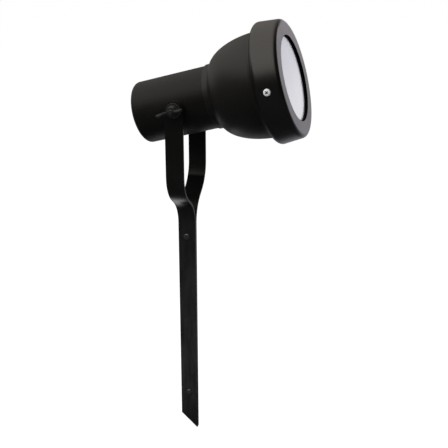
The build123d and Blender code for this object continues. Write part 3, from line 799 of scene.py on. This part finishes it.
class SPOT_OT_bezel_screws(bpy.types.Operator):
    """Cross-recess pan-head screws round the bezel"""

    bl_idname = "spot.bezel_screws"
    bl_label = "Bezel screws"

    ROUNDNESS = 0.77  # power of the pan head's curve
    RIM = 0.12  # share of the head's height that stands straight

    def execute(self, context):
        screw = context.scene.spot_screws
        grids, axes = [], []
        for index in range(screw.count):
            turn, recess_turn = 2 * pi * index / screw.count, 0.5 + index
            out = -LEFT * cos(turn) - np.cross(AIM, LEFT) * sin(turn)
            seat = PIVOT + AIM * screw.station + out * screw.seat
            across = AIM * cos(recess_turn) + np.cross(out, AIM) * sin(recess_turn)
            grids.append(placed(self.pan_head(screw), seat, out, across))
            axes.append((seat, out))
        mesh = surface_mesh("pan heads", grids)
        self.mark_recess(mesh, screw, axes)
        add_piece("pan_head_screws", mesh, "screw", "head", "bezel_screws")
        return {"FINISHED"}

    def dome(self, screw, t):
        """Height of the plain head at t: z = H (rim + (1 - rim) cos(t)^roundness)."""
        return screw.head_height * (self.RIM + (1 - self.RIM) * np.cos(t) ** self.ROUNDNESS)

    def mark_recess(self, mesh, screw, axes):
        """Stores how far each point lies under the plain dome, for the painted shade in the recess.

        The dome's height at a distance from the axis is the head's formula turned round, and the
        screw that a point belongs to is the one whose axis is nearest.
        """
        reach, full_shade = 0.02, 0.0009
        count = len(mesh.vertices)
        points = np.empty(count * 3)
        mesh.vertices.foreach_get("co", points)
        points = points.reshape(-1, 3)
        nearest, depth = np.full(count, np.inf), np.zeros(count)
        for seat, out in axes:
            rise = (points - seat) @ out
            off_axis = np.linalg.norm(points - seat - rise[:, None] * out, axis=1)
            share = np.clip(off_axis / screw.head_radius, 0, 1)
            dome = self.dome(screw, np.arcsin(share ** (1 / self.ROUNDNESS)))
            mine = (off_axis < nearest) & (np.abs(rise) < reach)
            depth = np.where(mine, np.where(rise > 0, dome - rise, 0), depth)
            nearest = np.where(mine, off_axis, nearest)
        layer = mesh.attributes.new("recess", "FLOAT", "POINT")
        layer.data.foreach_set("value", np.clip(depth / full_shade, 0, 1).astype(np.float32))

    def pan_head(self, screw):
        """One screw about Z, its seat at zero, as rows from the head's middle to the tip.

        The head is r = R sin(t)^roundness, under its dome. A cross recess is cut into its height:
        each arm is as deep as its distance from the arm's end allows, up to a floor, inside its
        width, which narrows outwards. The shank has a right-hand thread.
        """
        angle = angles(128)
        t = np.linspace(0, pi / 2, 44)[:, None]
        radius = screw.head_radius * np.sin(t) ** self.ROUNDNESS
        x, y = radius * np.cos(angle), radius * np.sin(angle)
        reach, width, floor = 0.58 * screw.head_radius, 0.2 * screw.head_radius, 0.0016
        narrowing, soft, slope = 0.175, 0.00014, 1.5
        depth = np.zeros_like(x)
        for along, beside in ((x, y), (y, x)):
            wall = fade(width - narrowing * np.abs(along) - np.abs(beside), 0.0, soft)
            arm = np.minimum(floor, slope * np.clip(reach - np.abs(along), 0, None))
            depth = np.maximum(depth, wall * arm)
        head = turned(self.dome(screw, t) - depth, radius, angle)
        under = rows_at(0.0, (0.98 * screw.head_radius, 0.0021), angle)
        shank_radius, tip_radius, cut, chamfer = 0.002, 0.0013, 0.00038, 0.0004
        along = np.linspace(0, -screw.length + chamfer, 84)[:, None]
        thread = thread_depth(angle, along, screw.pitch, cut) * fade(-along, 0.0002, 0.0009)
        tip = rows_at(-screw.length, (tip_radius, 0.0), angle)
        return np.concatenate([head, under, turned(along, shank_radius - thread, angle), tip])


class SPOT_OT_tilt_bolts(bpy.types.Operator):
    """Threaded tilt bolts and the washers on them"""

    bl_idname = "spot.tilt_bolts"
    bl_label = "Tilt bolts and washers"

    def execute(self, context):
        tilt = context.scene.spot_tilt
        for name, side in SIDES.items():
            node, washer_node = f"pivot_bolt_{name}", f"arm_washer_{name}"
            low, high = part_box(node)
            inner, outer = sorted((abs(low.y), abs(high.y)))
            bolt = placed(self.bolt(tilt, inner, outer), PIVOT, LEFT * side, AIM)
            mesh = surface_mesh(f"bolt {name}", [bolt])
            add_piece(f"threaded_bolt_{name}", mesh, "hardware", "head", node)
            washer = placed(self.washer(tilt), PIVOT, LEFT * side, AIM)
            mesh = surface_mesh(f"washer {name}", [washer], wrap_rows=True)
            piece, body = f"pressed_washer_{name}", f"{name}_washer"
            add_piece(piece, mesh, "hardware", body, washer_node)
        return {"FINISHED"}

    def bolt(self, tilt, inner, outer):
        """A bolt about Z from its domed head to its chamfered end.

        The head is r = R sin t, z = inner + rise (1 - cos t), and the shank behind it carries a
        right-hand thread that runs out at the head, down to a chamfer at 45 degrees.
        """
        angle = angles(72)
        head_radius, rise, cut, rows_per_turn = 0.008, 0.0036, 0.00055, 14
        chamfer, end_inset, run_out = 0.0006, 0.0009, (0.0005, 0.0015)
        t = np.linspace(0, pi / 2, 16)[:, None]
        seat = inner + rise
        head = turned(inner + rise * (1 - np.cos(t)), head_radius * np.sin(t), angle)
        under = rows_at(seat, (tilt.bolt_radius,), angle)
        rows = int((outer - seat) / tilt.pitch * rows_per_turn)
        along = np.linspace(seat, outer, rows)[:, None]
        cut_share = fade(along, seat + run_out[0], seat + run_out[1])
        shank = tilt.bolt_radius - thread_depth(angle, along, tilt.pitch, cut) * cut_share
        shank = np.minimum(shank, tilt.bolt_radius - np.clip(along - outer + chamfer, 0, None))
        end = rows_at(outer, (tilt.bolt_radius - end_inset, 0.0), angle)
        return np.concatenate([head, under, turned(along, shank, angle), end])

    def washer(self, tilt):
        """A pressed washer about Z: a closed section with one side rounded by the press."""
        thickness, clearance = 0.0016, 0.00006
        low, high = tilt.nut_seat - thickness, tilt.nut_seat
        inner, outer = tilt.bolt_radius + clearance, tilt.washer_radius
        section = rounded(
            [(low, inner), (low, outer), (high, outer), (high, inner)],
            [0.0001, 0.00012, 0.0005, 0.0004],
        )
        return turned_section(section)


class SPOT_OT_wing_nuts(bpy.types.Operator):
    """Cast wing nuts that clamp the tilt"""

    bl_idname = "spot.wing_nuts"
    bl_label = "Wing nuts"

    grain: length_field("Casting grain", "Cell size that melts the wings into the hub", 0.00022)

    def execute(self, context):
        tilt = context.scene.spot_tilt
        for name, side in SIDES.items():
            along = LEFT * side
            across = np.array((cos(tilt.wing_angle), 0, sin(tilt.wing_angle)))
            where = (PIVOT + along * tilt.nut_seat, along, across)
            mesh = surface_mesh(f"hub {name}", [placed(self.hub(tilt), *where)], wrap_rows=True)
            wings = [placed(self.wing(tilt, way), *where) for way in (1, -1)]
            self.melt(mesh, surface_mesh(f"wings {name}", wings))
            piece, body, node = f"cast_wing_nut_{name}", f"{name}_nut", f"wing_nut_{name}"
            add_piece(piece, mesh, "hardware", body, node)
        return {"FINISHED"}

    def hub(self, tilt):
        """The hub about Z: a closed section, a cone on a short foot with a countersunk bore."""
        clearance, sink, foot, top = 0.00022, 0.0005, 0.0014, 0.0065
        foot_radius, top_radius = 0.0065, 0.0050
        bore = tilt.bolt_radius + clearance
        section = rounded(
            [
                (0.0, bore + sink),
                (0.0, foot_radius),
                (foot, foot_radius),
                (top, top_radius),
                (top, bore + sink),
                (top - sink, bore),
                (sink, bore),
            ],
            [0, 0.0003, 0.0006, 0.0007, 0, 0, 0],
        )
        return turned_section(section)

    def wing(self, tilt, way):
        """One wing: its outline shrunk towards its middle, row by row, down one face and up the
        other.

        The outline is the hull of a root circle and a tip circle, whose point for the direction n
        is c + r n on the circle that reaches furthest along n. Rows go from the middle of one face
        to its edge and back on the other, and half the thickness swells to a bead near the edge
        before it rounds off.
        """
        tip, root, root_out, root_up = 0.005, 0.0032, 0.0038, 0.0036
        thin, swell, edge = 0.00098, 0.00032, 0.84
        centres = np.array(
            [[tilt.wing_span / 2 - tip, tilt.wing_height - tip], [root_out, root_up]]
        )
        radii = np.array([tip, root])
        direction = np.linspace(0, 2 * pi, 120, endpoint=False)
        normals = np.stack([np.cos(direction), np.sin(direction)], axis=1)
        reach = normals @ centres.T + radii
        best = reach.argmax(axis=1)
        outline = centres[best] + radii[best, None] * normals
        middle = centres.mean(axis=0)
        share = np.concatenate([np.linspace(0, 0.8, 10), np.linspace(edge, 1, 14)])
        bead = thin + swell * fade(share, 0.55, 0.82)
        half = bead * np.sqrt(np.clip(1 - np.clip((share - edge) / (1 - edge), 0, 1) ** 2, 0, 1))
        share = np.concatenate([share, share[-2::-1]])
        half = np.concatenate([half, -half[-2::-1]])
        flat = middle + share[:, None, None] * (outline - middle)
        x = way * flat[..., 0]
        return np.stack([x, np.broadcast_to(half[:, None], x.shape), flat[..., 1]], axis=-1)

    def melt(self, mesh, wings):
        """Joins the wings to the hub at a fine grain, and smooths the inner corners as cast."""
        refill(mesh, mesh, wings)
        bpy.data.meshes.remove(wings)
        helper = bpy.data.objects.new("melting", mesh)
        bpy.context.scene.collection.objects.link(helper)
        remesh = helper.modifiers.new("grain", "REMESH")
        remesh.mode = "VOXEL"
        remesh.voxel_size = self.grain
        soften = helper.modifiers.new("soften", "SMOOTH")
        soften.factor = 0.5
        soften.iterations = 5
        bpy.context.view_layer.update()
        melted = bpy.data.meshes.new_from_object(
            helper.evaluated_get(bpy.context.evaluated_depsgraph_get())
        )
        refill(mesh, melted)
        bpy.data.objects.remove(helper)
        bpy.data.meshes.remove(melted)
        smooth(mesh)


class SPOT_OT_gland(bpy.types.Operator):
    """Cable gland at the closed end: chamfered hexagon, fluted nut and rubber seal"""

    bl_idname = "spot.gland"
    bl_label = "Cable gland"

    rear: length_field("Wall station", "Barrel's rear wall from the tilt pivot", -0.0555)
    flange: length_field("Flange", "Height of the hexagon", 0.0032)

    NECK = 0.0036  # neck above the hexagon
    SEAL = 0.005  # length of the rubber seal

    def execute(self, context):
        seat = PIVOT + AIM * self.rear
        for name, grid, finish, node in (
            ("gland_hexagon", self.hexagon(), "nylon", "gland_body"),
            ("gland_fluted_nut", self.nut(), "nylon", "gland_nut"),
            ("gland_rubber", self.rubber(), "rubber", "gland_seal"),
        ):
            mesh = surface_mesh(name, [placed(grid, seat, -AIM, HEAD_UP)], wrap_rows=True)
            add_piece(name, mesh, finish, "head", node)
        return {"FINISHED"}

    def hexagon(self):
        """The gland's body about Z, out from the wall: thread stub, hexagon, neck and socket.

        The hexagon's radius at an angle is its half width over the cosine of the angle from its
        nearest flat, cut back by a cone at its outer edge.
        """
        angle = angles(144)
        half, foot = 0.0095, self.flange
        bore, stub, neck, socket, back, chamfer = 0.0048, 0.0078, 0.0074, 0.0066, -0.008, 0.0006
        end, floor, corner = foot + self.NECK, foot + self.NECK - self.SEAL, half + 0.0014
        from_flat = (angle + pi / 6) % (pi / 3) - pi / 6
        hexagon = half / np.cos(from_flat)
        # Each row is a height, a radius, and 1 where the hexagon cuts the radius back.
        table = np.array([
            (floor, bore, 0), (back, bore, 0), (back, stub - chamfer, 0),
            (back + chamfer, stub, 0), (0.0, stub, 0), (0.0, half - 0.0002, 0),
            (0.0, corner, 1), (0.25 * foot, corner, 1), (0.5 * foot, corner, 1),
            (0.72 * foot, corner, 1), (0.82 * foot, half + 0.0011, 1),
            (0.91 * foot, half + 0.0006, 1), (foot, half + 0.0001, 1), (foot, half - 0.0004, 0),
            (foot, neck, 0), (end, neck, 0), (end, socket, 0), (floor, socket, 0),
        ])
        height, radius, cut = table[:, :1], table[:, 1:2], table[:, 2:] > 0
        return turned(height, np.where(cut, np.minimum(hexagon, radius), radius), angle)

    def nut(self):
        """The gland's nut about Z: a closed section with twelve flutes round its side.

        The flutes are 0.0007 deep, as the sixth power of the cosine of six times the angle, and
        fade out on the domed end.
        """
        low, top, floor = self.flange + 0.00004, self.flange + 0.0052, self.flange + 0.0037
        thread, outside, mouth, flute_depth = 0.0077, 0.0086, 0.0052, 0.0007
        section = rounded(
            [
                (low, thread), (low, outside), (top, outside),
                (top, mouth), (floor, mouth), (floor, thread),
            ],
            [0, 0.0003, 0.0011, 0.0005, 0, 0],
        )
        angle = angles(192)
        side = fade(section[:, 1:], 0.0078, 0.0085)
        flute = flute_depth * np.cos(6 * angle) ** 6
        return turned(section[:, :1], section[:, 1:] - side * flute, angle)

    def rubber(self):
        """The rubber seal about Z: a closed section with three soft ribs inside."""
        high = self.flange + self.NECK
        low = high - self.SEAL
        outer, bore, rib = 0.0066, 0.00403, 0.00045
        inside = np.linspace(high, low, 40)
        ribs = bore + rib * np.sin(3 * pi * (inside - low) / (high - low)) ** 2
        outside = np.array([[low, outer], [high, outer]])
        return turned_section(np.concatenate([outside, np.stack([inside, ribs], axis=1)]))


class SPOT_OT_stage(bpy.types.Operator):
    """Camera, soft lamps, world and floor"""

    bl_idname = "spot.stage"
    bl_label = "Stage"

    # Lamp: its place, the point it faces, its size, its watts, and whether it is a card.
    LAMPS = {
        "key": ((-1.15, -1.4, 1.5), (0.02, 0, 0.22), 1.6, 27.0, False),
        "front": ((0.62, 0.46, 0.25), (0.13, 0, 0.25), 0.5, 4.75, False),
        "yoke card": ((-0.027, 0.029, 0.037), (0, -0.02, 0.12), 0.07, 0.0011, True),
    }
    CARD_SPREAD = 0.63
    SOFTBOX = (-0.52, -0.62, 0.59)  # direction of the big soft box
    AHEAD, ASTERN = (1.0, 0.0, 0.0), (-1.0, 0.0, 0.0)
    AMBIENT = 0.45
    FLOOR_SHOWN = 0.86  # with the light that falls on it, it shows white
    WARM, COOL = (1.0, 0.94, 0.87), (0.95, 0.885, 1.0)  # soft box, and low on the horizon
    FLOOR_LIGHT = (0.96, 0.915, 1.0)
    FLOOR_GREY, FLOOR_MIRRORED = (0.3, 0.3, 0.3), (0.02, 0.02, 0.02)
    FLOOR_HALF, FLOOR_GAP = 9.0, 0.0006

    def execute(self, context):
        scene = context.scene
        stage = scene.spot_stage
        scene.view_settings.view_transform = "Standard"
        self.camera(scene, stage)
        for name, values in self.LAMPS.items():
            self.lamp(scene, name, *values)
        back = (-sin(stage.azimuth), cos(stage.azimuth), 0.0)
        self.world(scene, stage, back)
        self.floor(scene, stage, back)
        return {"FINISHED"}

    def camera(self, scene, stage):
        """Stands the camera on its azimuth and elevation about the point it looks at."""
        azimuth, elevation = stage.azimuth, stage.elevation
        away = Vector(
            (sin(azimuth) * cos(elevation), -cos(azimuth) * cos(elevation), sin(elevation))
        )
        right = Vector((cos(azimuth), sin(azimuth), 0))
        up = away.cross(right)
        target = Vector(PIVOT) + right * stage.look_across - Vector((0, 0, stage.look_down))
        rolled_right = right * cos(stage.roll) + up * sin(stage.roll)
        rolled_up = up * cos(stage.roll) - right * sin(stage.roll)
        data = bpy.data.cameras.new("camera")
        data.lens = stage.lens
        data.sensor_width = 36
        camera = bpy.data.objects.new("camera", data)
        turn = Matrix((rolled_right, rolled_up, away)).transposed().to_4x4()
        camera.matrix_world = Matrix.Translation(target + away * stage.distance) @ turn
        scene.collection.objects.link(camera)
        scene.camera = camera

    def lamp(self, scene, name, place, target, size, power, card):
        """A square soft box that faces the target. A card only shows in what is glossy."""
        data = bpy.data.lights.new(name, "AREA")
        data.size = size
        data.energy = power
        data.spread = self.CARD_SPREAD if card else pi
        lamp = bpy.data.objects.new(name, data)
        turn = (Vector(place) - Vector(target)).to_track_quat("Z", "Y").to_matrix().to_4x4()
        lamp.matrix_world = Matrix.Translation(place) @ turn
        lamp.visible_camera = False
        lamp.visible_diffuse = not card
        lamp.visible_glossy = card
        scene.collection.objects.link(lamp)

    def rays(self, owner):
        """An emptied tree, and whether a ray is the camera's, and whether it was mirrored."""
        owner.use_nodes = True
        tree = owner.node_tree
        tree.nodes.clear()
        path = add_node(tree, "ShaderNodeLightPath").outputs
        mirrored = maths(tree, "MAXIMUM", path["Is Glossy Ray"], path["Is Transmission Ray"])
        return tree, path["Is Camera Ray"], mirrored

    def world(self, scene, stage, back):
        """White backdrop for the camera, soft boxes for reflections, and a plain ambient light.

        The studio behind the camera and in front of the lamp is unlit, so reflections fade
        towards both. Low on the horizon they show the pale backdrop behind the object.
        """
        world = bpy.data.worlds.new("studio")
        tree, seen, mirrored = self.rays(world)
        way = add_node(tree, "ShaderNodeTexCoord").outputs["Generated"]
        rise = axis_of(tree, way, "Z")
        edge = ranged(tree, rise, (0.38, 0.46))
        opened = maths(tree, "MAXIMUM", edge, facing(tree, way, back, (0.0, 0.3)))
        softbox = facing(tree, way, self.SOFTBOX, (-0.6, 1.0), (0.0, 0.97), "LINEAR")
        unlit = facing(tree, way, self.AHEAD, (0.15, 0.5), (1.0, 0.0))
        high = times(tree, times(tree, opened, softbox), unlit)
        low = ranged(tree, rise, (0.05, 0.3), (1.4, 0.015), "SMOOTHSTEP")
        behind = facing(tree, way, back, (0.3, 0.85))
        ahead = facing(tree, way, self.AHEAD, (0.0, 0.3), (1.0, 0.42))
        astern = facing(tree, way, self.ASTERN, (-0.1, 0.4), (1.0, 0.15))
        sides = times(tree, ahead, astern)
        horizon = times(tree, times(tree, low, behind), sides)
        glow = maths(tree, "MAXIMUM", high, horizon)
        tint = blended(tree, horizon, self.WARM, self.COOL)
        background = add_node(
            tree,
            "ShaderNodeBackground",
            {
                "Color": blended(tree, mirrored, tuple(stage.backdrop), tint),
                "Strength": mixed(tree, seen, mixed(tree, mirrored, self.AMBIENT, glow), 1.0),
            },
        )
        output = add_node(tree, "ShaderNodeOutputWorld")
        set_socket(output.inputs["Surface"], background.outputs[0])
        scene.world = world

    def floor(self, scene, stage, back):
        """A wide white floor just under the spike's point.

        Its own light shows it white to the camera, and mirrored it is paler further off and
        behind the object. Its grey keeps the object's shadow.
        """
        half, level = self.FLOOR_HALF, cad_box[0][2] - self.FLOOR_GAP
        corners = [(-half, -half), (half, -half), (half, half), (-half, half)]
        mesh = bpy.data.meshes.new("floor")
        mesh.from_pydata([(x, y, level) for x, y in corners], [], [(0, 1, 2, 3)])
        material = bpy.data.materials.new("floor")
        tree, seen, mirrored = self.rays(material)
        spot = add_node(tree, "ShaderNodeNewGeometry").outputs["Position"]
        lit = ranged(tree, vector_maths(tree, "LENGTH", spot), (0.2, 2.2), (0.34, 0.64))
        bearing = vector_maths(tree, "NORMALIZE", spot)
        away = facing(tree, bearing, back, (0.3, 0.85), (0.04, 1.0))
        shown = mixed(tree, seen, times(tree, lit, away), self.FLOOR_SHOWN)
        glows = maths(tree, "MAXIMUM", mirrored, seen)
        glow = add_node(
            tree,
            "ShaderNodeEmission",
            {
                "Color": blended(tree, seen, self.FLOOR_LIGHT, tuple(stage.backdrop)),
                "Strength": times(tree, glows, shown),
            },
        )
        albedo = blended(tree, mirrored, self.FLOOR_GREY, self.FLOOR_MIRRORED)
        matt = add_node(tree, "ShaderNodeBsdfDiffuse", {"Color": albedo})
        both = add_node(tree, "ShaderNodeAddShader", {0: glow.outputs[0], 1: matt.outputs[0]})
        output = add_node(tree, "ShaderNodeOutputMaterial")
        set_socket(output.inputs["Surface"], both.outputs[0])
        mesh.materials.append(material)
        floor = bpy.data.objects.new("floor", mesh)
        scene.collection.objects.link(floor)


# -------------------------------------------------------------------------- panel and main steps
class SPOT_PT_panel(bpy.types.Panel):
    """The spotlight's settings and steps"""

    bl_idname = "SPOT_PT_panel"
    bl_label = "Spike Spotlight"
    bl_space_type = "VIEW_3D"
    bl_region_type = "UI"
    bl_category = "Spotlight"

    def draw(self, context):
        layout = self.layout
        for name, operators in PANEL_ROWS:
            box = layout.box()
            if name:
                settings = getattr(context.scene, name)
                for field in settings.__annotations__:
                    box.prop(settings, field)
            for operator in operators:
                box.operator(operator)


SETTINGS = {
    "spot_coating": CoatingSettings,
    "spot_glass": GlassSettings,
    "spot_screws": ScrewSettings,
    "spot_tilt": TiltSettings,
    "spot_stage": StageSettings,
}
OPERATORS = (
    SPOT_OT_finishes,
    SPOT_OT_rivets,
    SPOT_OT_bezel_screws,
    SPOT_OT_tilt_bolts,
    SPOT_OT_wing_nuts,
    SPOT_OT_gland,
    SPOT_OT_stage,
)
PANEL_ROWS = (
    ("spot_coating", ("spot.finishes",)),
    ("spot_glass", ()),
    ("spot_screws", ("spot.bezel_screws",)),
    ("spot_tilt", ("spot.tilt_bolts", "spot.wing_nuts")),
    (None, ("spot.rivets", "spot.gland")),
    ("spot_stage", ("spot.stage",)),
)


def register():
    for settings in SETTINGS.values():
        bpy.utils.register_class(settings)
    for operator in OPERATORS:
        bpy.utils.register_class(operator)
    bpy.utils.register_class(SPOT_PT_panel)
    for name, settings in SETTINGS.items():
        setattr(bpy.types.Scene, name, PointerProperty(type=settings))


def unregister():
    for name in SETTINGS:
        delattr(bpy.types.Scene, name)
    bpy.utils.unregister_class(SPOT_PT_panel)
    for operator in reversed(OPERATORS):
        bpy.utils.unregister_class(operator)
    for settings in reversed(SETTINGS.values()):
        bpy.utils.unregister_class(settings)


def main():
    register()
    for operator in OPERATORS:
        group, step = operator.bl_idname.split(".")
        getattr(getattr(bpy.ops, group), step)()


if __name__ == "__main__":
    main()
